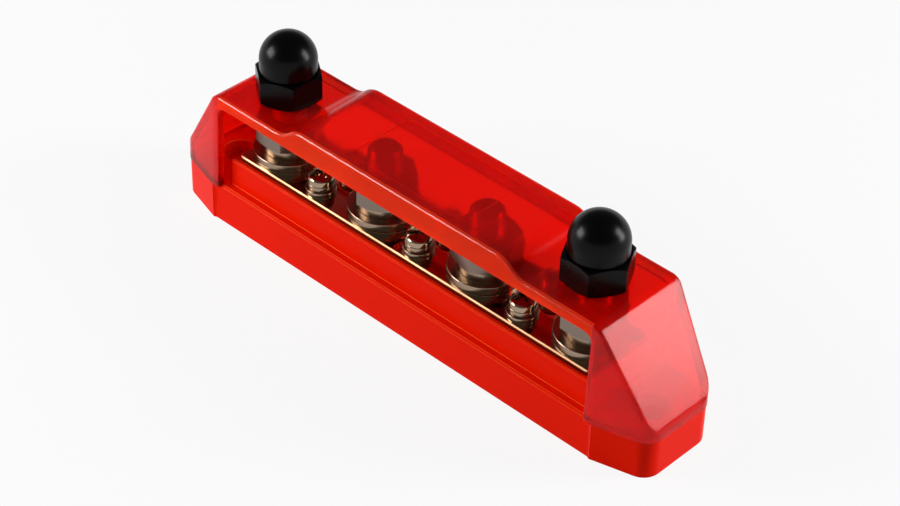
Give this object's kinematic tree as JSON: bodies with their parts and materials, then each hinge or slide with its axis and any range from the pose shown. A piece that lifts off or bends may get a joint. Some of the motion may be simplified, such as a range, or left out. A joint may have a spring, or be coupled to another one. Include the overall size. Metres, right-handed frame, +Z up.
{
  "type": "bus bar",
  "caption": "Covered bus bar: a plated bar with stud and screw terminals on a moulded base, under a translucent cover held by domed cap nuts.",
  "frame": {"origin": "middle of the underside of the base", "axes": "+X along the bar, +Z up, the pictured long side faces -Y"},
  "size_m": [0.1772, 0.0336, 0.0623],
  "materials": {
    "red_moulding": "moulded orange-red plastic, satin gloss",
    "clear_red_moulding": "translucent red plastic, glossy",
    "plated_bar": "bright nickel plate",
    "plated_hardware": "nickel plate",
    "stud_steel": "plated steel thread",
    "black_moulding": "moulded black plastic, semi-gloss"
  },
  "bodies": {
    "base_unit": {"base": "red_moulding", "bus_bar": "plated_bar", "stud_1": "stud_steel", "stud_2": "stud_steel", "stud_3": "stud_steel", "stud_4": "stud_steel", "stud_flat_washer_1": "plated_hardware", "stud_flat_washer_2": "plated_hardware", "stud_flat_washer_3": "plated_hardware", "stud_flat_washer_4": "plated_hardware", "stud_spring_washer_1": "plated_hardware", "stud_spring_washer_2": "plated_hardware", "stud_spring_washer_3": "plated_hardware", "stud_spring_washer_4": "plated_hardware", "screw_flat_washer_1": "plated_hardware", "screw_flat_washer_2": "plated_hardware", "screw_flat_washer_3": "plated_hardware", "screw_flat_washer_4": "plated_hardware", "screw_flat_washer_5": "plated_hardware", "screw_flat_washer_6": "plated_hardware", "screw_spring_washer_1": "plated_hardware", "screw_spring_washer_2": "plated_hardware", "screw_spring_washer_3": "plated_hardware", "screw_spring_washer_4": "plated_hardware", "screw_spring_washer_5": "plated_hardware", "screw_spring_washer_6": "plated_hardware"},
    "cover": {"cover": "clear_red_moulding"},
    "cap_nut_left": {"cap_nut_left": "black_moulding"},
    "cap_nut_right": {"cap_nut_right": "black_moulding"},
    "stud_nut_1": {"stud_nut_1": "plated_hardware"},
    "stud_nut_2": {"stud_nut_2": "plated_hardware"},
    "stud_nut_3": {"stud_nut_3": "plated_hardware"},
    "stud_nut_4": {"stud_nut_4": "plated_hardware"},
    "terminal_screw_1": {"terminal_screw_1": "plated_hardware"},
    "terminal_screw_2": {"terminal_screw_2": "plated_hardware"},
    "terminal_screw_3": {"terminal_screw_3": "plated_hardware"},
    "terminal_screw_4": {"terminal_screw_4": "plated_hardware"},
    "terminal_screw_5": {"terminal_screw_5": "plated_hardware"},
    "terminal_screw_6": {"terminal_screw_6": "plated_hardware"}
  },
  "joints": [
    {"name": "cover_lift", "type": "slide", "parent": "base_unit", "child": "cover", "axis": [0, 0, 1], "range_m": [0, 0.042]},
    {"name": "cap_nut_left_turn", "type": "hinge", "parent": "cover", "child": "cap_nut_left", "pos_m": [-0.057, 0, 0.0423], "axis": [0, 0, 1], "continuous": true},
    {"name": "cap_nut_right_turn", "type": "hinge", "parent": "cover", "child": "cap_nut_right", "pos_m": [0.057, 0, 0.0423], "axis": [0, 0, 1], "continuous": true},
    {"name": "stud_nut_1_turn", "type": "hinge", "parent": "base_unit", "child": "stud_nut_1", "pos_m": [-0.057, 0, 0.02765], "axis": [0, 0, 1], "continuous": true},
    {"name": "stud_nut_2_turn", "type": "hinge", "parent": "base_unit", "child": "stud_nut_2", "pos_m": [-0.019, 0, 0.02765], "axis": [0, 0, 1], "continuous": true},
    {"name": "stud_nut_3_turn", "type": "hinge", "parent": "base_unit", "child": "stud_nut_3", "pos_m": [0.019, 0, 0.02765], "axis": [0, 0, 1], "continuous": true},
    {"name": "stud_nut_4_turn", "type": "hinge", "parent": "base_unit", "child": "stud_nut_4", "pos_m": [0.057, 0, 0.02765], "axis": [0, 0, 1], "continuous": true},
    {"name": "terminal_screw_1_turn", "type": "hinge", "parent": "base_unit", "child": "terminal_screw_1", "pos_m": [-0.038, -0.006, 0.02535], "axis": [0, 0, 1], "continuous": true},
    {"name": "terminal_screw_2_turn", "type": "hinge", "parent": "base_unit", "child": "terminal_screw_2", "pos_m": [0, -0.006, 0.02535], "axis": [0, 0, 1], "continuous": true},
    {"name": "terminal_screw_3_turn", "type": "hinge", "parent": "base_unit", "child": "terminal_screw_3", "pos_m": [0.038, -0.006, 0.02535], "axis": [0, 0, 1], "continuous": true},
    {"name": "terminal_screw_4_turn", "type": "hinge", "parent": "base_unit", "child": "terminal_screw_4", "pos_m": [-0.038, 0.006, 0.02535], "axis": [0, 0, 1], "continuous": true},
    {"name": "terminal_screw_5_turn", "type": "hinge", "parent": "base_unit", "child": "terminal_screw_5", "pos_m": [0, 0.006, 0.02535], "axis": [0, 0, 1], "continuous": true},
    {"name": "terminal_screw_6_turn", "type": "hinge", "parent": "base_unit", "child": "terminal_screw_6", "pos_m": [0.038, 0.006, 0.02535], "axis": [0, 0, 1], "continuous": true}
  ]
}
